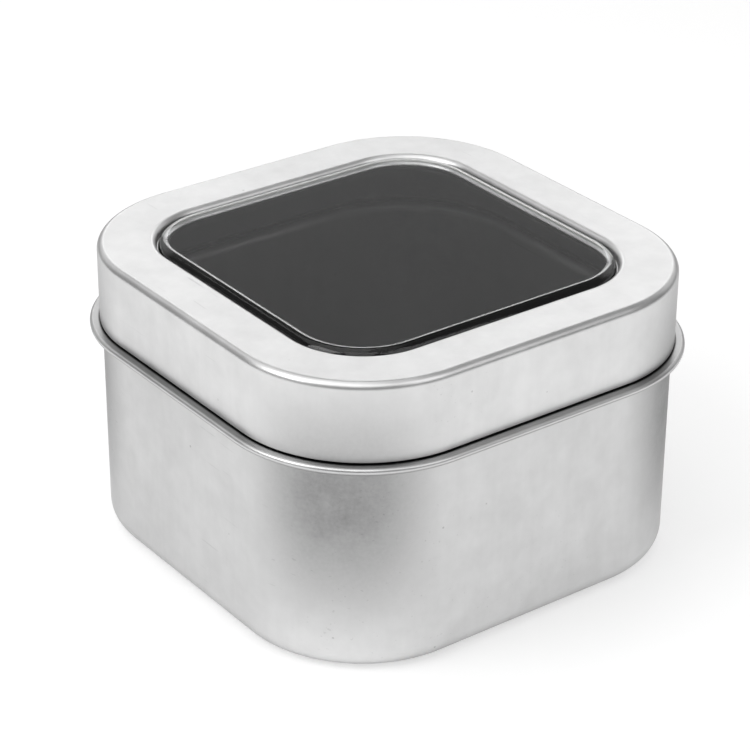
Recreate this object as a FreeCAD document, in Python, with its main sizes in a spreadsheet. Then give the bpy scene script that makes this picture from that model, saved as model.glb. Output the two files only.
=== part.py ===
import FreeCAD, Part
import os
import Sketcher

# Square window lid tin: a drawn tinplate cup, a slip lid with a ledge round its window, a clear pane on
# that ledge and the glue that holds the pane. All outlines are rounded squares about the same four corner
# centres, so every wall runs parallel to every other. The origin is the centre of the base.

# Driving dimensions in millimetres, each an alias of one cell of the sheet.
SIZES = (
    ("lid_width", "80.0"),            # lid, outside, flat to flat
    ("lid_corner_radius", "22.5"),    # lid, outside, seen from above
    ("overall_height", "50.9"),       # base to the top of the lid
    ("lid_height", "13.2"),           # top of the lid to the lower edge of its skirt
    ("lid_edge_radius", "1.25"),      # rounded edge between the lid's top and its skirt
    ("tinplate", "0.28"),             # sheet that the body and the lid are pressed from
    ("slip_clearance", "0.15"),       # body wall to the inside of the skirt
    ("base_radius", "3.5"),           # rounded edge between the base and the wall
    ("bead_overhang", "2.1"),         # bead, beyond the body wall
    ("fold_gap", "0.6"),              # space left between the two layers of the bead
    ("pinch_width", "0.16"),          # flat under the bead, from its nose to the cove above the wall
    ("seat_gap", "0.3"),              # skirt's lower edge above the bead
    ("curl_radius", "0.9"),           # rim curl, outside
    ("rim_gap", "2.0"),               # rim curl below the underside of the lid's top
    ("window_border", "9.65"),        # outside of the skirt to the lip of the window
    ("lip_radius", "1.05"),           # roll of the lip, on the side that shows
    ("lip_straight", "0.35"),         # straight part of the lip, from the roll to the bend of the ledge
    ("ledge_bend", "0.15"),           # bend from the lip to the ledge, on the side that shows
    ("ledge_flat", "1.3"),            # flat of the ledge, which carries the pane
    ("hem_radius", "0.5"),            # turned-down edge of the opening, on the side that shows
    ("hem_straight", "0.25"),         # straight part of the turned-down edge
    ("glue_film", "0.1"),             # glue between the ledge and the pane
    ("glue_inset", "0.12"),           # glue, in from the foot of the pane and from the turned-down edge
    ("pane_clearance", "0.1"),        # foot of the pane to the bend of the ledge
    ("pane_rise", "0.15"),            # top of the pane above the top of the lid
    ("pane_edge_radius", "1.75"),     # rounded edge of the pane
)

doc = FreeCAD.newDocument("window_lid_tin")
sheet = doc.addObject("Spreadsheet::Sheet", "Sizes")
for row, (alias, value) in enumerate(SIZES, start=1):
    sheet.set(f"A{row}", alias)
    sheet.set(f"B{row}", value)
    sheet.setAlias(f"B{row}", alias)
doc.recompute()

# Places that more than one piece uses, as expressions of the sheet. Half widths run from the middle
# of the tin to a flat side, and levels run up from the base.
CORNER_CENTRE = "(Sizes.lid_width / 2 - Sizes.lid_corner_radius)"
LID_HALF = "(Sizes.lid_width / 2)"
SKIRT_INSIDE = f"({LID_HALF} - Sizes.tinplate)"
BODY_HALF = f"({SKIRT_INSIDE} - Sizes.slip_clearance)"
LIP_HALF = f"({LID_HALF} - Sizes.window_border)"
LIP_ROLL_FOOT = f"({LIP_HALF} + Sizes.lip_radius)"
LID_EDGE_START = f"({LID_HALF} - Sizes.lid_edge_radius)"
LEDGE_START = f"({LIP_HALF} - Sizes.ledge_bend)"
HEM_START = f"({LEDGE_START} - Sizes.ledge_flat)"
PANE_FOOT = f"({LEDGE_START} - Sizes.pane_clearance)"

LID_TOP = "Sizes.overall_height"
LID_UNDERSIDE = f"({LID_TOP} - Sizes.tinplate)"
SKIRT_EDGE = f"({LID_TOP} - Sizes.lid_height)"
LIP_ROLL_LEVEL = f"({LID_TOP} - Sizes.lip_radius)"
LEDGE_BEND_LEVEL = f"({LIP_ROLL_LEVEL} - Sizes.lip_straight)"
LEDGE_TOP = f"({LEDGE_BEND_LEVEL} - Sizes.ledge_bend)"
PANE_UNDERSIDE = f"({LEDGE_TOP} + Sizes.glue_film)"


def new_body(label):
    """An empty body whose label names the piece."""
    body = doc.addObject("PartDesign::Body", label)
    body.Label = label
    return body


def new_sketch(body, name, plane_role, level=None):
    """A sketch on one of the body's own planes, raised to a level where one is given."""
    plane = next(item for item in body.Origin.OriginFeatures if item.Role == plane_role)
    sketch = body.newObject("Sketcher::SketchObject", name)
    sketch.AttachmentSupport = [(plane, "")]
    sketch.MapMode = "FlatFace"
    if level:
        sketch.setExpression("AttachmentOffset.Base.z", level)
    return sketch


def value_of(expression):
    """The number that an expression of the sheet gives now."""
    return float(sheet.evalExpression(expression))


def bind(sketch, constraint, expression):
    """Adds one dimension to a sketch and ties it to the sheet."""
    index = sketch.addConstraint(constraint)
    sketch.setExpression(f"Constraints[{index}]", expression)


def draw_outline(sketch, points):
    """Draws a closed outline through points given as expressions (across, up, bend).

    The bend belongs to the stretch that leaves the point: None for a straight one, or a radius and
    the side that its centre lies on, "left" or "right" of the way round.
    """
    places = [FreeCAD.Vector(value_of(across), value_of(up), 0) for across, up, bend in points]
    ends = []
    for index, (across, up, bend) in enumerate(points):
        start = places[index]
        finish = places[(index + 1) % len(places)]
        if bend is None:
            geometry = sketch.addGeometry(Part.LineSegment(start, finish), False)
            ends.append((geometry, 1, 2))
            continue
        radius, side = bend
        geometry = sketch.addGeometry(arc_between(start, finish, value_of(radius), side), False)
        ends.append((geometry, 1, 2) if side == "left" else (geometry, 2, 1))
    for index, (across, up, bend) in enumerate(points):
        geometry, first, last = ends[index]
        next_geometry, next_first, next_last = ends[(index + 1) % len(ends)]
        sketch.addConstraint(Sketcher.Constraint("Coincident", geometry, last, next_geometry, next_first))
        place = places[index]
        bind(sketch, Sketcher.Constraint("DistanceX", -1, 1, geometry, first, place.x), across)
        bind(sketch, Sketcher.Constraint("DistanceY", -1, 1, geometry, first, place.y), up)
        if bend is not None:
            radius = bend[0]
            bind(sketch, Sketcher.Constraint("Radius", geometry, value_of(radius)), radius)


def arc_between(start, finish, radius, side):
    """The shorter arc of a radius from start to finish, with its centre on the given side of the way."""
    chord = finish - start
    height = (radius ** 2 - (chord.Length / 2) ** 2) ** 0.5
    left = FreeCAD.Vector(-chord.y, chord.x, 0).normalize()
    centre = (start + finish) / 2 + left * (height if side == "left" else -height)
    first, last = (start, finish) if side == "left" else (finish, start)
    circle = Part.Circle(centre, FreeCAD.Vector(0, 0, 1), radius)
    return Part.ArcOfCircle(circle, circle.parameter(first), circle.parameter(last))


def draw_rounded_square(sketch, half):
    """Draws a square with round corners about the shared corner centres, from the middle of one side."""
    radius = f"({half} - {CORNER_CENTRE})"
    turn = (radius, "left")
    draw_outline(sketch, [
        (half, "0", None),
        (half, CORNER_CENTRE, turn),
        (CORNER_CENTRE, half, None),
        (f"-{CORNER_CENTRE}", half, turn),
        (f"-{half}", CORNER_CENTRE, None),
        (f"-{half}", f"-{CORNER_CENTRE}", turn),
        (f"-{CORNER_CENTRE}", f"-{half}", None),
        (CORNER_CENTRE, f"-{half}", turn),
        (half, f"-{CORNER_CENTRE}", None),
    ])


def sweep_section(body, points):
    """Sweeps a section round the tin, along the outline of the lid."""
    path = new_sketch(body, f"{body.Name}_path", "XY_Plane")
    draw_rounded_square(path, LID_HALF)
    section = new_sketch(body, f"{body.Name}_section", "XZ_Plane")
    draw_outline(section, points)
    doc.recompute()
    wall = body.newObject("PartDesign::AdditivePipe", f"{body.Name}_wall")
    wall.Profile = section
    wall.Spine = (path, [])
    doc.recompute()


def pad_outlines(body, name, halves, level, thickness):
    """Pads a plate, or a ring where a second half width is given, up from a level."""
    outline = new_sketch(body, f"{body.Name}_{name}_outline", "XY_Plane", level)
    for half in halves:
        draw_rounded_square(outline, half)
    doc.recompute()
    plate = body.newObject("PartDesign::Pad", f"{body.Name}_{name}")
    plate.Profile = outline
    plate.setExpression("Length", thickness)
    doc.recompute()


def make_tin_body():
    """Drawn cup: base, wall, folded bead, neck and inward rim curl, all one sheet."""
    sheet_in = f"({BODY_HALF} - Sizes.tinplate)"
    base_flat = f"({BODY_HALF} - Sizes.base_radius)"
    base_inside = "(Sizes.base_radius - Sizes.tinplate)"
    nose_inside = "(Sizes.fold_gap / 2)"
    nose = f"(Sizes.tinplate + {nose_inside})"
    bead_top = f"({SKIRT_EDGE} - Sizes.seat_gap)"
    bead_middle = f"({bead_top} - {nose})"
    bead_foot = f"({bead_middle} - {nose})"
    bead_half = f"({BODY_HALF} + Sizes.bead_overhang)"
    nose_start = f"({bead_half} - {nose})"
    cove = f"(Sizes.bead_overhang - {nose} - Sizes.pinch_width)"
    cove_inside = f"({cove} + Sizes.tinplate)"
    cove_end = f"({BODY_HALF} + {cove})"
    cove_level = f"({bead_foot} - {cove})"
    neck_bend = "Sizes.slip_clearance"
    neck_bend_inside = f"({neck_bend} + Sizes.tinplate)"
    neck_bend_end = f"({BODY_HALF} + {neck_bend})"
    neck_level = f"({bead_top} + {neck_bend})"
    curl = "Sizes.curl_radius"
    curl_inside = f"({curl} - Sizes.tinplate)"
    curl_centre = f"({BODY_HALF} - {curl})"
    curl_level = f"({LID_UNDERSIDE} - Sizes.rim_gap - {curl})"
    body = new_body("tin_body")
    sweep_section(body, [
        (base_flat, "0", ("Sizes.base_radius", "left")),
        (BODY_HALF, "Sizes.base_radius", None),
        (BODY_HALF, cove_level, (cove, "right")),
        (cove_end, bead_foot, None),
        (nose_start, bead_foot, (nose, "left")),
        (bead_half, bead_middle, (nose, "left")),
        (nose_start, bead_top, None),
        (neck_bend_end, bead_top, (neck_bend, "right")),
        (BODY_HALF, neck_level, None),
        (BODY_HALF, curl_level, (curl, "left")),
        (curl_centre, f"{curl_level} + {curl}", (curl, "left")),
        (f"{curl_centre} - {curl}", curl_level, (curl, "left")),
        (curl_centre, f"{curl_level} - {curl}", None),
        (curl_centre, f"{curl_level} - {curl_inside}", (curl_inside, "right")),
        (f"{curl_centre} - {curl_inside}", curl_level, (curl_inside, "right")),
        (curl_centre, f"{curl_level} + {curl_inside}", (curl_inside, "right")),
        (sheet_in, curl_level, None),
        (sheet_in, neck_level, (neck_bend_inside, "left")),
        (neck_bend_end, f"{bead_top} - Sizes.tinplate", None),
        (nose_start, f"{bead_top} - Sizes.tinplate", (nose_inside, "right")),
        (f"{bead_half} - Sizes.tinplate", bead_middle, (nose_inside, "right")),
        (nose_start, f"{bead_foot} + Sizes.tinplate", None),
        (cove_end, f"{bead_foot} + Sizes.tinplate", (cove_inside, "left")),
        (sheet_in, cove_level, None),
        (sheet_in, "Sizes.base_radius", (base_inside, "right")),
        (base_flat, "Sizes.tinplate", None),
    ])
    pad_outlines(body, "base", [base_flat], None, "Sizes.tinplate")
    return body


def make_lid_shell():
    """Stamped lid: turned-down edge of the opening, ledge, lip, flat top, rounded edge and skirt."""
    edge = "Sizes.lid_edge_radius"
    edge_level = f"({LID_TOP} - {edge})"
    edge_inside = f"({edge} - Sizes.tinplate)"
    roll = "Sizes.lip_radius"
    roll_inside = f"({roll} - Sizes.tinplate)"
    lip_back = f"({LIP_HALF} + Sizes.tinplate)"
    bend = "Sizes.ledge_bend"
    bend_outside = f"({bend} + Sizes.tinplate)"
    ledge_underside = f"({LEDGE_TOP} - Sizes.tinplate)"
    hem = "Sizes.hem_radius"
    hem_inside = f"({hem} - Sizes.tinplate)"
    hem_half = f"({HEM_START} - {hem})"
    hem_back = f"({hem_half} + Sizes.tinplate)"
    hem_level = f"({LEDGE_TOP} - {hem})"
    hem_edge = f"({hem_level} - Sizes.hem_straight)"
    body = new_body("lid_shell")
    sweep_section(body, [
        (hem_half, hem_edge, None),
        (hem_back, hem_edge, None),
        (hem_back, hem_level, (hem_inside, "right")),
        (HEM_START, ledge_underside, None),
        (LEDGE_START, ledge_underside, (bend_outside, "left")),
        (lip_back, LEDGE_BEND_LEVEL, None),
        (lip_back, LIP_ROLL_LEVEL, (roll_inside, "right")),
        (LIP_ROLL_FOOT, LID_UNDERSIDE, None),
        (LID_EDGE_START, LID_UNDERSIDE, (edge_inside, "right")),
        (SKIRT_INSIDE, edge_level, None),
        (SKIRT_INSIDE, SKIRT_EDGE, None),
        (LID_HALF, SKIRT_EDGE, None),
        (LID_HALF, edge_level, (edge, "left")),
        (LID_EDGE_START, LID_TOP, None),
        (LIP_ROLL_FOOT, LID_TOP, (roll, "left")),
        (LIP_HALF, LIP_ROLL_LEVEL, None),
        (LIP_HALF, LEDGE_BEND_LEVEL, (bend, "right")),
        (LEDGE_START, LEDGE_TOP, None),
        (HEM_START, LEDGE_TOP, (hem, "left")),
        (hem_half, hem_level, None),
    ])
    return body


def arc_reach(radius, fall):
    """How far out an arc has gone when it has fallen by a height from its level top."""
    return f"sqrt(2 * {radius} * {fall} - {fall} * {fall})"


def make_window_pane():
    """Clear plate with a flat top and underside and a rounded edge that runs down to its foot."""
    pane_top = f"({LID_TOP} + Sizes.pane_rise)"
    thickness = f"({pane_top} - {PANE_UNDERSIDE})"
    edge = "Sizes.pane_edge_radius"
    flat_half = f"({PANE_FOOT} - {arc_reach(edge, thickness)})"
    body = new_body("window_pane")
    sweep_section(body, [
        (flat_half, PANE_UNDERSIDE, None),
        (PANE_FOOT, PANE_UNDERSIDE, (edge, "left")),
        (flat_half, pane_top, None),
    ])
    pad_outlines(body, "plate", [flat_half], PANE_UNDERSIDE, thickness)
    return body


def make_glue_bead():
    """Thin ring of glue between the ledge and the pane."""
    glue_inside = f"({HEM_START} + Sizes.glue_inset)"
    glue_outside = f"({PANE_FOOT} - Sizes.glue_inset)"
    body = new_body("glue_bead")
    pad_outlines(body, "ring", [glue_outside, glue_inside], LEDGE_TOP, "Sizes.glue_film")
    return body


pieces = [make_tin_body(), make_lid_shell(), make_window_pane(), make_glue_bead()]
doc.recompute()

for item in doc.Objects:
    if "Invalid" in item.State or "Error" in item.State:
        raise RuntimeError(f"{item.Label} failed: {item.State}")
for piece in pieces:
    if piece.Shape.isNull() or not piece.Shape.isValid() or len(piece.Shape.Solids) != 1:
        raise RuntimeError(f"{piece.Label} is not one valid solid")

os.makedirs("parts", exist_ok=True)
for piece in pieces:
    piece.Shape.exportStep(f"parts/{piece.Label}.step")
    print(piece.Label, "volume", round(piece.Shape.Volume, 1), "mm3")
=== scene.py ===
import math
import bmesh
import bpy
from mathutils import Matrix, Vector


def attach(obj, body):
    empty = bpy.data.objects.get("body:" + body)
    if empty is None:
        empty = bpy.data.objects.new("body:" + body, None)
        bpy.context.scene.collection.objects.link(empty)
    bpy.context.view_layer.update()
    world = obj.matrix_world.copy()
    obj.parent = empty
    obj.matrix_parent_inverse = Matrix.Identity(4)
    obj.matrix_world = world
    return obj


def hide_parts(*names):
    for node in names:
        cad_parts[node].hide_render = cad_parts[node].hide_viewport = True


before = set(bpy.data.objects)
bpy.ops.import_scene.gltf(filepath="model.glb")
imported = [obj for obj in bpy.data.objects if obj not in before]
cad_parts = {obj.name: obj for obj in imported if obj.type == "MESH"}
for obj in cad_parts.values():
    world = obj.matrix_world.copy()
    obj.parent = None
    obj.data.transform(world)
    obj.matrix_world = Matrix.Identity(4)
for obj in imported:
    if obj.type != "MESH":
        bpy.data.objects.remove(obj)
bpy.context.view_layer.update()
scene = bpy.context.scene

# Sizes of the tin in millimetres, as the solids have them. A half width runs from the middle of the
# tin to a flat side, and a level runs up from the base.
MM = 0.001
CORNER_CENTRE = 17.5
TINPLATE = 0.28
BODY_HALF = 39.57
BASE_RADIUS = 3.5
BEAD_OVERHANG = 2.1
NOSE_RADIUS = 0.58
PINCH_WIDTH = 0.16
BEAD_TOP = 37.4
NECK_BEND = 0.15
CURL_RADIUS = 0.9
RIM_TOP = 48.62
LID_HALF = 40.0
LID_TOP = 50.9
SKIRT_EDGE = 37.7
LID_EDGE_RADIUS = 1.25
LIP_HALF = 30.35
LIP_RADIUS = 1.05
LEDGE_BEND = 0.15
LEDGE_TOP = 49.35
LEDGE_START = 30.2
HEM_START = 28.9
HEM_RADIUS = 0.5
HEM_EDGE = 48.6
PANE_TOP = 51.05
PANE_UNDERSIDE = 49.45
PANE_EDGE_RADIUS = 1.75
PANE_FOOT = 30.1
GLUE_HALVES = (29.02, 29.98)

# How the pieces are meshed, also in millimetres. Within the plate's half width the base and the pane
# are one flat face. A hair is a gap too fine to see. A support is a point close to a bend that keeps
# the flat stretch beside it flat in the shading; short stretches have none.
PLATE_HALF = 19.0
HAIR = 0.01
WELD = HAIR / 100
SUPPORT = 0.04
LARGEST_SUPPORT_SHARE = 0.33
CORNER_STEPS = 60
SHARP_ANGLE = math.radians(30)
INNER = "inner_face"

# Turns in degrees, and the steps of each bend on the outer and on the inner face of the sheet.
QUARTER = 90
HALF_TURN = 180
CURL_TURN = 270
BASE_STEPS, BASE_INNER_STEPS = 16, 12
COVE_STEPS, COVE_INNER_STEPS = 12, 10
NOSE_STEPS, NOSE_INNER_STEPS = 20, 8
NECK_STEPS = 5
CURL_STEPS, CURL_INNER_STEPS = 24, 18
HEM_STEPS, HEM_INNER_STEPS = 8, 6
LEDGE_STEPS = 8
LIP_STEPS, LIP_INNER_STEPS = 14, 10
LID_EDGE_STEPS, LID_EDGE_INNER_STEPS = 16, 10
PANE_EDGE_STEPS = 20


# Node trees

class Value:
    """The value of one socket.

    Sums, products and powers of values add the Math nodes that work them out.
    """

    def __init__(self, nodes, socket):
        self.nodes = nodes
        self.socket = socket

    def maths(self, operation, *terms):
        inputs = dict(enumerate(terms))
        return self.nodes.add("ShaderNodeMath", {"operation": operation}, inputs)["Value"]

    def __add__(self, other):
        return self.maths("ADD", self, other)

    __radd__ = __add__

    def __sub__(self, other):
        return self.maths("SUBTRACT", self, other)

    def __rsub__(self, other):
        return self.maths("SUBTRACT", other, self)

    def __mul__(self, other):
        return self.maths("MULTIPLY", self, other)

    __rmul__ = __mul__

    def __truediv__(self, other):
        return self.maths("DIVIDE", self, other)

    def __pow__(self, other):
        return self.maths("POWER", self, other)

    def __abs__(self):
        return self.maths("ABSOLUTE", self)

    def least(self, other):
        return self.maths("MINIMUM", self, other)

    def most(self, other):
        return self.maths("MAXIMUM", self, other)

    def ease(self, start, finish):
        """0 up to start and 1 from finish on, with a smooth way between; start may be the larger."""
        return self.nodes.add("ShaderNodeMapRange", {"interpolation_type": "SMOOTHSTEP"},
                              {"Value": self, "From Min": start, "From Max": finish})["Result"]


class Node:
    """One node; its outputs are read as values by name."""

    def __init__(self, nodes, node):
        self.nodes = nodes
        self.node = node

    def __getitem__(self, name):
        return Value(self.nodes, find_socket(self.node.outputs, name))


class Nodes:
    """A node tree that is written as a list of added nodes."""

    def __init__(self, tree):
        self.tree = tree
        tree.nodes.clear()

    def add(self, kind, settings=None, inputs=None):
        """Adds a node, sets its settings, then gives its sockets their values or links."""
        node = self.tree.nodes.new(kind)
        for name, setting in (settings or {}).items():
            setattr(node, name, setting)
        for name, given in (inputs or {}).items():
            socket = find_socket(node.inputs, name)
            if isinstance(given, Value):
                self.tree.links.new(given.socket, socket)
            else:
                socket.default_value = given
        return Node(self, node)


def find_socket(sockets, name):
    """A socket by its place in the list, its identifier or its name."""
    if isinstance(name, int):
        return sockets[name]
    return next((socket for socket in sockets if socket.identifier == name), None) or sockets[name]


# Shapes

class Section:
    """A section through a piece, laid out stretch by stretch as half widths and levels in millimetres.

    The points between a call of inside and one of outside are on the inner face of the sheet.
    """

    def __init__(self, half, level):
        self.points = [(half, level)]
        self.inner_from = self.inner_to = 0
        self.is_closed = False

    def inside(self):
        self.inner_from = len(self.points)
        return self

    def outside(self):
        self.inner_to = len(self.points)
        return self

    def line(self, half, level):
        """A flat stretch, with a support near each end unless it is short."""
        start_half, start_level = self.points[-1]
        run, rise = half - start_half, level - start_level
        share = SUPPORT / math.hypot(run, rise)
        if share < LARGEST_SUPPORT_SHARE:
            for part in (share, 1 - share):
                self.points.append((start_half + run * part, start_level + rise * part))
        self.points.append((half, level))
        return self

    def bend(self, centre_half, centre_level, degrees, steps):
        """A round stretch about a centre, anticlockwise where the turn is positive."""
        start_half, start_level = self.points[-1]
        across, up = start_half - centre_half, start_level - centre_level
        for step in range(1, steps + 1):
            angle = math.radians(degrees) * step / steps
            self.points.append((centre_half + across * math.cos(angle) - up * math.sin(angle),
                                centre_level + across * math.sin(angle) + up * math.cos(angle)))
        return self

    def closed(self):
        """Closes the section and drops its last point, which is the first one again."""
        self.points.pop()
        self.is_closed = True
        return self


def body_section():
    """Base, wall, cove, folded bead, neck and rim curl, up the outside and down the inside."""
    base_flat = BODY_HALF - BASE_RADIUS
    wall_inside = BODY_HALF - TINPLATE
    nose_start = BODY_HALF + BEAD_OVERHANG - NOSE_RADIUS
    bead_middle = BEAD_TOP - NOSE_RADIUS
    bead_foot = bead_middle - NOSE_RADIUS
    bead_roof, bead_floor = BEAD_TOP - TINPLATE, bead_foot + TINPLATE
    cove = BEAD_OVERHANG - NOSE_RADIUS - PINCH_WIDTH
    cove_end, cove_level = BODY_HALF + cove, bead_foot - cove
    neck_end, neck_level = BODY_HALF + NECK_BEND, BEAD_TOP + NECK_BEND
    curl_centre, curl_level = BODY_HALF - CURL_RADIUS, RIM_TOP - CURL_RADIUS
    curl_end = curl_level - CURL_RADIUS + TINPLATE
    section = Section(PLATE_HALF, 0).line(base_flat, 0)
    section.bend(base_flat, BASE_RADIUS, QUARTER, BASE_STEPS).line(BODY_HALF, cove_level)
    section.bend(cove_end, cove_level, -QUARTER, COVE_STEPS).line(nose_start, bead_foot)
    section.bend(nose_start, bead_middle, HALF_TURN, NOSE_STEPS).line(neck_end, BEAD_TOP)
    section.bend(neck_end, neck_level, -QUARTER, NECK_STEPS).line(BODY_HALF, curl_level).inside()
    section.bend(curl_centre, curl_level, CURL_TURN, CURL_STEPS).line(curl_centre, curl_end)
    section.bend(curl_centre, curl_level, -CURL_TURN, CURL_INNER_STEPS).line(wall_inside, neck_level)
    section.bend(neck_end, neck_level, QUARTER, NECK_STEPS).line(nose_start, bead_roof)
    section.bend(nose_start, bead_middle, -HALF_TURN, NOSE_INNER_STEPS).line(cove_end, bead_floor)
    section.bend(cove_end, cove_level, QUARTER, COVE_INNER_STEPS).line(wall_inside, BASE_RADIUS)
    section.bend(base_flat, BASE_RADIUS, -QUARTER, BASE_INNER_STEPS).line(PLATE_HALF, TINPLATE)
    return section.outside()


def lid_section():
    """Edge of the opening, ledge, lip, flat top and skirt, out underneath and back over the top."""
    hem_half, hem_level = HEM_START - HEM_RADIUS, LEDGE_TOP - HEM_RADIUS
    hem_back, lip_back, skirt_back = hem_half + TINPLATE, LIP_HALF + TINPLATE, LID_HALF - TINPLATE
    ledge_underside, top_underside = LEDGE_TOP - TINPLATE, LID_TOP - TINPLATE
    bend_level = LEDGE_TOP + LEDGE_BEND
    roll_centre, roll_level = LIP_HALF + LIP_RADIUS, LID_TOP - LIP_RADIUS
    edge_centre, edge_level = LID_HALF - LID_EDGE_RADIUS, LID_TOP - LID_EDGE_RADIUS
    section = Section(hem_half, HEM_EDGE).inside().line(hem_back, HEM_EDGE).line(hem_back, hem_level)
    section.bend(HEM_START, hem_level, -QUARTER, HEM_INNER_STEPS).line(LEDGE_START, ledge_underside)
    section.bend(LEDGE_START, bend_level, QUARTER, LEDGE_STEPS).line(lip_back, roll_level)
    section.bend(roll_centre, roll_level, -QUARTER, LIP_INNER_STEPS).line(edge_centre, top_underside)
    section.bend(edge_centre, edge_level, -QUARTER, LID_EDGE_INNER_STEPS)
    section.line(skirt_back, SKIRT_EDGE).outside()
    section.line(LID_HALF, SKIRT_EDGE).line(LID_HALF, edge_level)
    section.bend(edge_centre, edge_level, QUARTER, LID_EDGE_STEPS).line(roll_centre, LID_TOP)
    section.bend(roll_centre, roll_level, QUARTER, LIP_STEPS).line(LIP_HALF, bend_level)
    section.bend(LEDGE_START, bend_level, -QUARTER, LEDGE_STEPS).line(HEM_START, LEDGE_TOP)
    section.bend(HEM_START, hem_level, QUARTER, HEM_STEPS).line(hem_half, HEM_EDGE)
    return section.closed()


def pane_section():
    """Flat top, rounded edge and flat underside of the clear plate."""
    centre_level = PANE_TOP - PANE_EDGE_RADIUS
    angle = math.asin((PANE_UNDERSIDE - centre_level) / PANE_EDGE_RADIUS)
    flat_half = PANE_FOOT - PANE_EDGE_RADIUS * math.cos(angle)
    section = Section(PLATE_HALF, PANE_TOP).line(flat_half, PANE_TOP)
    section.bend(flat_half, centre_level, math.degrees(angle) - QUARTER, PANE_EDGE_STEPS)
    return section.line(PLATE_HALF, PANE_UNDERSIDE)


def glue_section():
    """Thin film between the ledge and the pane, a hair clear of both."""
    low, high = LEDGE_TOP + HAIR, PANE_UNDERSIDE - HAIR
    inner, outer = GLUE_HALVES
    section = Section(inner, low)
    section.line(outer, low).line(outer, high).line(inner, high).line(inner, low)
    return section.closed()


def sweep_tree():
    """Tree that sweeps a section round a square with round corners, and what its inputs are called."""
    tree = bpy.data.node_groups.new("section swept round the tin", "GeometryNodeTree")
    tree.is_modifier = True
    tree.interface.new_socket("Geometry", in_out="OUTPUT", socket_type="NodeSocketGeometry")
    called = {}
    for name, kind in (("Section", "Object"), ("Path half width", "Float"),
                       ("Path corner radius", "Float"), ("Corner steps", "Int"),
                       ("Sharp angle", "Float"), ("Finish", "Material")):
        socket = tree.interface.new_socket(name, in_out="INPUT", socket_type=f"NodeSocket{kind}")
        called[name] = socket.identifier
    nodes = Nodes(tree)
    given = nodes.add("NodeGroupInput")
    side = given["Path half width"] * 2
    square = nodes.add("GeometryNodeCurvePrimitiveQuadrilateral", {"mode": "RECTANGLE"},
                       {"Width": side, "Height": side})["Curve"]
    path = nodes.add("GeometryNodeFilletCurve", {"mode": "POLY"},
                     {"Curve": square, "Count": given["Corner steps"],
                      "Radius": given["Path corner radius"]})["Curve"]
    path = nodes.add("GeometryNodeSetCurveNormal", {"mode": "Z_UP"}, {"Curve": path})["Curve"]
    section = nodes.add("GeometryNodeObjectInfo", None, {"Object": given["Section"]})["Geometry"]
    inner = nodes.add("GeometryNodeInputRadius")["Radius"]
    section = nodes.add("GeometryNodeStoreNamedAttribute", {"data_type": "FLOAT", "domain": "POINT"},
                        {"Geometry": section, "Name": INNER, "Value": inner})["Geometry"]
    skin = nodes.add("GeometryNodeCurveToMesh", None,
                     {"Curve": path, "Profile Curve": section})["Mesh"]
    angle = nodes.add("GeometryNodeInputMeshEdgeAngle")["Unsigned Angle"]
    sharp = nodes.add("FunctionNodeCompare", {"data_type": "FLOAT", "operation": "GREATER_THAN"},
                      {"A": angle, "B": given["Sharp angle"]})["Result"]
    skin = nodes.add("GeometryNodeSetShadeSmooth", {"domain": "FACE"},
                     {"Geometry": skin, "Shade Smooth": True})["Geometry"]
    skin = nodes.add("GeometryNodeSetShadeSmooth", {"domain": "EDGE"},
                     {"Geometry": skin, "Selection": sharp, "Shade Smooth": False})["Geometry"]
    skin = nodes.add("GeometryNodeSetMaterial", None,
                     {"Geometry": skin, "Material": given["Finish"]})["Geometry"]
    nodes.add("NodeGroupOutput", None, {"Geometry": skin})
    return tree, called


def swept_piece(name, section, path_half, finish, body, node):
    """Sweeps a section into one piece, closes its open ends with plates and rides it on its body."""
    outline = bpy.data.curves.new(f"{name}_section", "CURVE")
    outline.dimensions = "3D"
    spline = outline.splines.new("POLY")
    spline.points.add(len(section.points) - 1)
    for index, (half, level) in enumerate(section.points):
        inner = section.inner_from <= index < section.inner_to
        spline.points[index].co = ((half - path_half) * MM, -level * MM, 0, 1)
        spline.points[index].radius = 1.0 if inner else 0.0
    spline.use_cyclic_u = section.is_closed
    outline_object = bpy.data.objects.new(outline.name, outline)
    scene.collection.objects.link(outline_object)

    piece = bpy.data.objects.new(name, bpy.data.meshes.new(name))
    scene.collection.objects.link(piece)
    sweep = piece.modifiers.new("sweep", "NODES")
    sweep.node_group = SWEEP
    for label, given in (("Section", outline_object), ("Path half width", path_half * MM),
                         ("Path corner radius", (path_half - CORNER_CENTRE) * MM),
                         ("Corner steps", CORNER_STEPS), ("Sharp angle", SHARP_ANGLE),
                         ("Finish", finish)):
        sweep[SWEEP_INPUTS[label]] = given
    made = piece.evaluated_get(bpy.context.evaluated_depsgraph_get())
    mesh = bpy.data.meshes.new_from_object(made)
    piece.modifiers.remove(sweep)
    piece.data = mesh
    bpy.data.objects.remove(outline_object)

    skin = bmesh.new()
    skin.from_mesh(mesh)
    bmesh.ops.remove_doubles(skin, verts=skin.verts, dist=WELD * MM)
    ends = [edge for edge in skin.edges if edge.is_boundary]
    for plate in bmesh.ops.holes_fill(skin, edges=ends)["faces"]:
        plate.smooth = True
    bmesh.ops.recalc_face_normals(skin, faces=skin.faces)
    skin.to_mesh(mesh)
    skin.free()
    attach(piece, body)
    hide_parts(node)


# Finishes

# Where the look of the sheet changes, each from none to full, in millimetres. The corner goes by how
# far a point is from both middle lines, a reach goes by half width, and the rest go by level.
CORNER_BLEND = (16, 31.5)
FOOT_BLEND = (15, 3)
BELOW_BEAD = (36.1, 35.5)
ABOVE_BEAD = (37.45, 37.65)
NOSE_REACH = (40.4, 40.9)
NOSE_UNDERSIDE = (36.85, 36.55)
BEAD_REACH = (41.5, 41.1)
GROOVE_REACH = (40.4, 40.05)
GROOVE_FOOT = (37.1, 37.3)
GROOVE_TOP = (38.5, 37.7)
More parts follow.
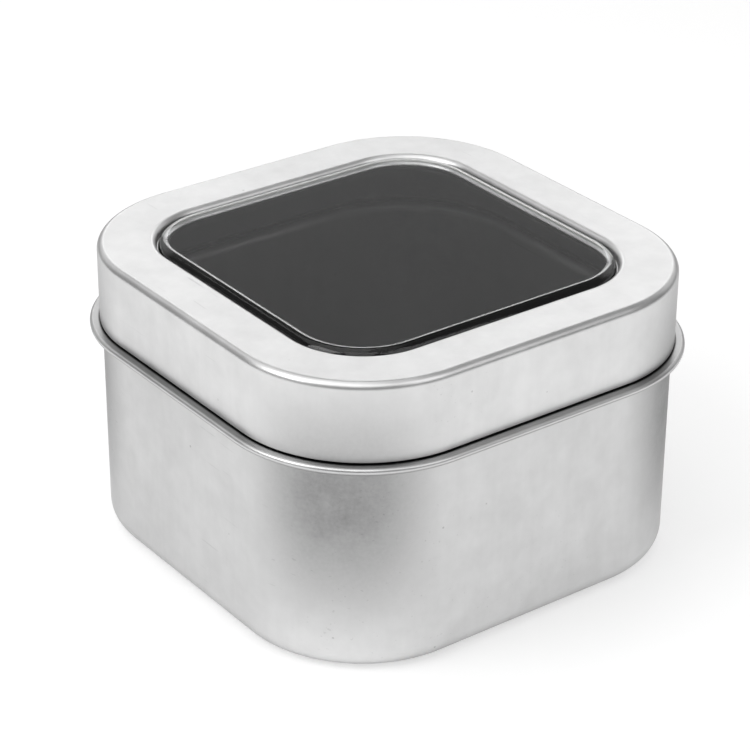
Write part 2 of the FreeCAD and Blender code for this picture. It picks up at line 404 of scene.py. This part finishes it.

# How far the sheet is lightened or darkened there: at the foot partly burnished and partly a painted
# highlight; under the nose, on the bead, in the groove and on the inner face it is painted shade.
FOOT_BURNISH_AND_PAINTED_HIGHLIGHT = 0.16
NOSE_PAINTED_SHADE = 0.3
BEAD_PAINTED_SHADE = 0.25
GROOVE_PAINTED_SHADE = 0.75
INSIDE_PAINTED_SHADE = 0.66

# Marks: how the pattern is stretched along X, Y and Z, where in it a mark begins and is full, and
# which patches of the surface have such marks.
DRAW_LINE_STRETCH = (1, 1, 0.06)
SCRATCH_STRETCH = (3, 60, 70)
SCRATCH_EDGE = (0.70, 0.74)
SCRATCH_PATCH = (0.5, 0.62)
SPECK_EDGE = (0.085, 0.05)
SPECK_PATCH = (0.6, 0.64)
RUB_STRETCH = (4, 160, 4)
RUB_TURN = 0.6
RUB_EDGE = (0.70, 0.76)
BUBBLE_EDGE = (0.3, 0.2)


def grey(level):
    return (level, level, level, 1)


class Finish(Nodes):
    """The nodes of a new material, with those that the finishes share."""

    def __init__(self, name):
        self.material = bpy.data.materials.new(name)
        self.material.use_nodes = True
        super().__init__(self.material.node_tree)
        self.place = self.add("ShaderNodeTexCoord")["Object"]

    def stretched(self, scale, turn=0):
        """The place with its axes scaled and then turned about +Z."""
        return self.add("ShaderNodeMapping", None, {
            "Vector": self.place, "Rotation": (0, 0, turn), "Scale": scale})["Vector"]

    def noise(self, scale, detail, roughness=0.5, where=None):
        return self.add("ShaderNodeTexNoise", None, {
            "Vector": where or self.place, "Scale": scale, "Detail": detail,
            "Roughness": roughness})["Fac"]

    def cells(self, scale):
        """Distance from the middle of the nearest of many scattered cells."""
        return self.add("ShaderNodeTexVoronoi", None, {
            "Vector": self.place, "Scale": scale})["Distance"]

    def tone(self, share, first, second):
        """A colour that goes from the first to the second with the share."""
        return self.add("ShaderNodeMix", {"data_type": "RGBA"}, {
            "Factor_Float": share, "A_Color": first, "B_Color": second})["Result_Color"]

    def relief(self, inputs):
        return self.add("ShaderNodeBump", None, inputs)["Normal"]

    def coated(self, inputs):
        """The material with a Principled surface."""
        return self.surfaced(self.add("ShaderNodeBsdfPrincipled", None, inputs)["BSDF"])

    def surfaced(self, shader):
        self.add("ShaderNodeOutputMaterial", None, {"Surface": shader})
        return self.material


def satin_tinplate(name, brightness, drawn_levels, drawn_depth, groove_depth):
    """Satin rolled tinplate: faint blotches and draw lines, scratches, specks, a trace of waviness.

    The round corners are darker and rougher towards the open end: partly dulling where the drawing
    stretched the sheet most, partly painted shade; the two levels say where that starts and where it
    is full. At their foot they are lighter, partly burnished and partly a painted highlight. The bead
    under its nose and on top, the groove between bead and neck, and the inner face are darkened with
    painted shade.
    """
    finish = Finish(name)
    lengthwise = finish.stretched(DRAW_LINE_STRETCH)
    crosswise = finish.stretched(SCRATCH_STRETCH)
    scratch = finish.noise(scale=26, detail=2, roughness=0.4, where=crosswise).ease(*SCRATCH_EDGE)
    scratch_patch = finish.noise(scale=40, detail=1).ease(*SCRATCH_PATCH)
    speck_patch = finish.noise(scale=130, detail=1).ease(*SPECK_PATCH)
    marks = {
        "blotch": finish.noise(scale=60, detail=4, roughness=0.6),
        "cloud": finish.noise(scale=240, detail=3, roughness=0.55),
        "grain": finish.noise(scale=1500, detail=2, roughness=0.6),
        "draw_line": finish.noise(scale=420, detail=3, roughness=0.6, where=lengthwise),
        "scratch": scratch * scratch_patch,
        "speck": finish.cells(scale=330).ease(*SPECK_EDGE) * speck_patch,
    }

    def weighed(base, **weights):
        """The base and the named marks, each in its own weight, added up."""
        return sum((weight * marks[mark] for mark, weight in weights.items()), base)

    parts = finish.add("ShaderNodeSeparateXYZ", None, {"Vector": finish.place})
    across, along, up = abs(parts["X"]) / MM, abs(parts["Y"]) / MM, parts["Z"] / MM
    past_x, past_y = (across - CORNER_CENTRE).most(0), (along - CORNER_CENTRE).most(0)
    half = CORNER_CENTRE + (past_x * past_x + past_y * past_y) ** 0.5

    corner = across.least(along).ease(*CORNER_BLEND)
    off_bead = up.ease(*BELOW_BEAD).most(up.ease(*ABOVE_BEAD))
    # The round corners darken towards the open end: partly dulling from drawing the sheet, partly
    # painted shade.
    mottle = weighed(base=0.3, blotch=0.4, cloud=0.5, draw_line=0.2, grain=0.3)
    marks["drawn"] = corner * off_bead * up.ease(*drawn_levels) * mottle
    # Painted shade under the bead's nose; the foot of the corners is lighter, partly burnished and
    # partly a painted highlight.
    under_nose = half.ease(*NOSE_REACH) * up.ease(*NOSE_UNDERSIDE)
    burnish_and_painted_light = FOOT_BURNISH_AND_PAINTED_HIGHLIGHT * corner * up.ease(*FOOT_BLEND) - NOSE_PAINTED_SHADE * under_nose
    # Painted shade on top of the bead and in the groove between bead and neck, where the lid shades
    # them.
    painted_bead_and_groove_shade = BEAD_PAINTED_SHADE * half.ease(*BEAD_REACH) + GROOVE_PAINTED_SHADE * half.ease(*GROOVE_REACH)
    groove = groove_depth * painted_bead_and_groove_shade * up.ease(*GROOVE_FOOT) * up.ease(*GROOVE_TOP)
    marks["inner"] = finish.add("ShaderNodeAttribute", {
        "attribute_type": "GEOMETRY", "attribute_name": INNER})["Fac"]

    level = weighed(base=0.78, blotch=0.2, cloud=0.16, draw_line=0.08, scratch=-0.1, speck=-0.3)
    level = level * (1 - drawn_depth * marks["drawn"]) * (1 + burnish_and_painted_light) * (1 - groove)
    # The inner face is darker: painted shade inside the tin.
    level = level * (1 - INSIDE_PAINTED_SHADE * marks["inner"])
    gloss = weighed(base=0.26, blotch=0.08, cloud=0.05, grain=0.03, scratch=0.1,
                    drawn=0.12, inner=0.2)
    wave = finish.relief({
        "Height": finish.noise(scale=45, detail=1), "Strength": 0.2, "Distance": 0.0004})
    skin = finish.relief({
        "Height": weighed(base=0, cloud=0.5, grain=0.3, scratch=-1), "Strength": 0.07,
        "Distance": 0.00004, "Normal": wave})
    return finish.coated({
        "Base Color": finish.tone(level * brightness, grey(0), grey(1)), "Metallic": 1.0,
        "Roughness": gloss, "Specular Tint": grey(0.66), "Normal": skin})


def clear_plate():
    """Clear moulded plastic with a trace of haze and a few rub marks."""
    finish = Finish("clear_plate")
    haze = finish.noise(scale=120, detail=3)
    slantwise = finish.stretched(RUB_STRETCH, RUB_TURN)
    rubs = finish.noise(scale=20, detail=1, where=slantwise).ease(*RUB_EDGE)
    return finish.coated({
        "Base Color": (0.985, 0.99, 0.99, 1), "Roughness": 0.008 + 0.02 * haze + 0.06 * rubs,
        "IOR": 1.49, "Transmission Weight": 1.0})


def milky_glue():
    """Set glue: milky, dull, with a few trapped bubbles."""
    finish = Finish("milky_glue")
    cloud = finish.noise(scale=260, detail=3)
    bubble = finish.cells(scale=420).ease(*BUBBLE_EDGE)
    skin = finish.relief({
        "Height": cloud + bubble * 0.4, "Strength": 0.4, "Distance": 0.0002})
    return finish.coated({
        "Base Color": finish.tone(cloud, (0.86, 0.86, 0.84, 1), (0.94, 0.94, 0.93, 1)),
        "Roughness": 0.42 + 0.15 * cloud - 0.1 * bubble, "Transmission Weight": 0.1, "IOR": 1.48,
        "Normal": skin})


def white_paper():
    """White paper: seen directly or in metal and plastic it is a lit white that keeps the shadow."""
    finish = Finish("white_paper")
    fibre = finish.noise(scale=900, detail=3)
    tone = finish.tone(fibre, grey(0.88), grey(0.92))
    lit = finish.add("ShaderNodeBsdfDiffuse", None, {"Color": tone})["BSDF"]
    shade = finish.add("ShaderNodeBsdfDiffuse", None, {"Color": grey(0.68)})["BSDF"]
    glow = finish.add("ShaderNodeEmission", None, {"Color": grey(1), "Strength": 0.44})["Emission"]
    white = finish.add("ShaderNodeAddShader", None, {0: shade, 1: glow})["Shader"]
    ray = finish.add("ShaderNodeLightPath")
    seen = ray["Is Camera Ray"].most(ray["Is Glossy Ray"]).most(ray["Is Transmission Ray"])
    mixed = finish.add("ShaderNodeMixShader", None, {0: seen, 1: lit, 2: white})["Shader"]
    return finish.surfaced(mixed)


# Pieces

SWEEP, SWEEP_INPUTS = sweep_tree()
# On both pieces the corners darken towards the open end, partly with painted shade; only the body has
# painted shade in the groove.
swept_piece("drawn_body", body_section(), path_half=BODY_HALF,
            finish=satin_tinplate("body_tinplate", brightness=0.62, drawn_levels=(2, 31),
                                  drawn_depth=0.48, groove_depth=0.9),
            body="tin", node="tin_body")
swept_piece("slip_lid", lid_section(), path_half=LID_HALF,
            finish=satin_tinplate("lid_tinplate", brightness=0.70, drawn_levels=(54, 38),
                                  drawn_depth=0.27, groove_depth=0.0),
            body="lid", node="lid_shell")
swept_piece("clear_window", pane_section(), path_half=PANE_FOOT,
            finish=clear_plate(), body="lid", node="window_pane")
swept_piece("glue_ring", glue_section(), path_half=GLUE_HALVES[0],
            finish=milky_glue(), body="lid", node="glue_bead")


# Floor, light and camera

# The view, with its distances, target and sensor in millimetres.
VIEW_AZIMUTH = math.radians(53.289)
VIEW_ELEVATION = math.radians(28.011)
VIEW_ROLL = math.radians(0.382)
VIEW_DISTANCE = 437.23
VIEW_TARGET = Vector((0.05, -2.04, 28.17))
NEAREST_SEEN = 10
FOCAL_PIXELS = 2648.8
FRAME_PIXELS = 750
SENSOR_WIDTH = 36.0

# The floor and the lamps, in metres. Each lamp has a name, an azimuth and an elevation in degrees,
# the side of its face, and its radiance, which is how bright that face looks.
FLOOR_REACH = 2.5
LAMP_DISTANCE = 0.8
LAMP_AIM = Vector((0, 0, 0.03))
LAMPS = (
    ("key_softbox", -45, 68, 0.8, 0.65),
    ("left_softbox", -10, 42, 0.5, 2.8),
    ("right_softbox", 110, 42, 0.5, 1.25),
    ("front_softbox", 50, 54, 0.45, 1.35),
)

# The room as the tin sees it: how bright its parts are, and where each begins and is full. Heights,
# sides and depths are those of a direction of length 1, with minus for what is behind the tin.
ROOM_LEVEL = 0.24
WALL_LEVEL = 2.15
CEILING_LEVEL = 0.42
CARD_DEPTH = 0.88
WALL_SIDE_DEPTH = 0.7
WALL_BEHIND = (-0.35, -0.65)
WALL_TOP = (0.68, 0.52)
WALL_FOOT = (0.06, 0.28)
WALL_SIDES = (0.16, 0.42)
CARD_BEHIND = (-0.5, -0.6)
CARD_TOP = (0.5, 0.48)
CARD_FOOT = (0.36, 0.38)
CARD_SIDES = (0.14, 0.12)
CEILING_EDGE = (0.82, 0.93)


def towards(azimuth, elevation):
    """Direction from the tin, with the azimuth from -Y towards +X, in radians."""
    return Vector((math.sin(azimuth) * math.cos(elevation),
                   -math.cos(azimuth) * math.cos(elevation), math.sin(elevation)))


def lay_floor():
    """A wide sheet of paper, a hair below the base."""
    level = -HAIR * MM
    corners = [(FLOOR_REACH * x, FLOOR_REACH * y, level)
               for x, y in ((-1, -1), (1, -1), (1, 1), (-1, 1))]
    sheet = bpy.data.meshes.new("paper_floor")
    sheet.from_pydata(corners, [], [(0, 1, 2, 3)])
    floor = bpy.data.objects.new("paper_floor", sheet)
    floor.data.materials.append(white_paper())
    scene.collection.objects.link(floor)


def place_camera():
    data = bpy.data.cameras.new("camera")
    data.sensor_width = SENSOR_WIDTH
    data.lens = SENSOR_WIDTH * FOCAL_PIXELS / FRAME_PIXELS
    data.clip_start = NEAREST_SEEN * MM
    camera = bpy.data.objects.new("camera", data)
    scene.collection.objects.link(camera)
    back = towards(VIEW_AZIMUTH, VIEW_ELEVATION)
    right = Vector((0, 0, 1)).cross(back).normalized()
    up = back.cross(right)
    turned_right = right * math.cos(VIEW_ROLL) + up * math.sin(VIEW_ROLL)
    turned_up = up * math.cos(VIEW_ROLL) - right * math.sin(VIEW_ROLL)
    turn = Matrix((turned_right, turned_up, back)).transposed().to_4x4()
    camera.matrix_world = Matrix.Translation((VIEW_TARGET + back * VIEW_DISTANCE) * MM) @ turn
    scene.camera = camera


def light_room():
    """A white wall behind the tin with a dark card in it, a pale ceiling and a dim room all round."""
    world = bpy.data.worlds.new("studio")
    world.use_nodes = True
    scene.world = world
    nodes = Nodes(world.node_tree)
    direction = nodes.add("ShaderNodeTexCoord")["Generated"]
    way = nodes.add("ShaderNodeSeparateXYZ", None, {"Vector": direction})
    height = way["Z"]
    front = way["X"] * math.sin(VIEW_AZIMUTH) - way["Y"] * math.cos(VIEW_AZIMUTH)
    side = abs(way["X"] * math.cos(VIEW_AZIMUTH) + way["Y"] * math.sin(VIEW_AZIMUTH))
    wall = front.ease(*WALL_BEHIND) * height.ease(*WALL_TOP) * height.ease(*WALL_FOOT)
    wall = wall * (1 - WALL_SIDE_DEPTH * side.ease(*WALL_SIDES))
    card = height.ease(*CARD_FOOT) * height.ease(*CARD_TOP)
    card = card * side.ease(*CARD_SIDES) * front.ease(*CARD_BEHIND)
    ceiling = height.ease(*CEILING_EDGE)
    level = (ROOM_LEVEL + WALL_LEVEL * wall + CEILING_LEVEL * ceiling) * (1 - CARD_DEPTH * card)
    light = nodes.add("ShaderNodeBackground", None, {"Color": grey(1), "Strength": level})
    nodes.add("ShaderNodeOutputWorld", None, {"Surface": light["Background"]})


def hang_lamp(name, azimuth, elevation, side, radiance):
    """A square lamp that faces the tin."""
    lamp = bpy.data.lights.new(name, "AREA")
    lamp.shape = "SQUARE"
    lamp.size = side
    lamp.energy = radiance * math.pi * side ** 2
    softbox = bpy.data.objects.new(name, lamp)
    scene.collection.objects.link(softbox)
    back = towards(math.radians(azimuth), math.radians(elevation))
    softbox.location = back * LAMP_DISTANCE + LAMP_AIM
    softbox.rotation_euler = back.to_track_quat("Z", "Y").to_euler()


scene.view_settings.view_transform = "Standard"
lay_floor()
place_camera()
light_room()
for lamp in LAMPS:
    hang_lamp(*lamp)

bpy.context.view_layer.update()
